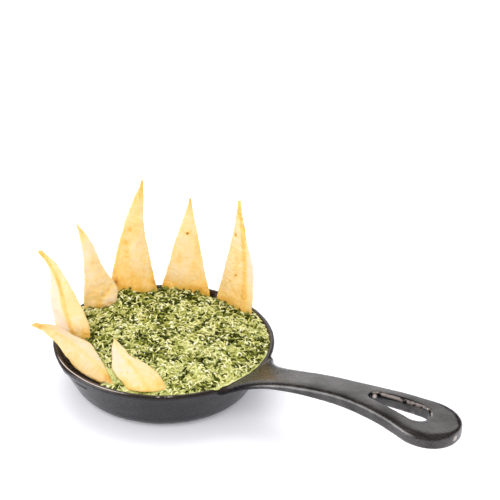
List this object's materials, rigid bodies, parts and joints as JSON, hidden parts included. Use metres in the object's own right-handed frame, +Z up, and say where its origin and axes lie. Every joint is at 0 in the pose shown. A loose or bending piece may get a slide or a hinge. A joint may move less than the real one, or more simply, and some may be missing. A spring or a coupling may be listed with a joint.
{
  "type": "skillet of spinach dip",
  "caption": "Small long-handled cast-iron skillet filled to the rim with creamy chopped-spinach dip, with thin crisp golden wedges standing and lying in it.",
  "frame": {"origin": "centre of the pan's flat bottom, on the surface it stands on", "axes": "+X along the handle away from the pan, +Z up"},
  "size_m": [0.3328, 0.166, 0.1319],
  "materials": {
    "iron": "seasoned black cast iron, satin",
    "dip": "moist chopped spinach in pale cream sauce",
    "chip": "crisp fried dough, dry with a faint oily sheen"
  },
  "bodies": {
    "root": {"skillet": "iron", "spinach_dip": "dip", "chip_far_left": "chip", "chip_back_left": "chip", "chip_tall": "chip", "chip_back_right": "chip", "chip_right": "chip", "chip_over_rim": "chip", "chip_front": "chip"}
  },
  "joints": []
}
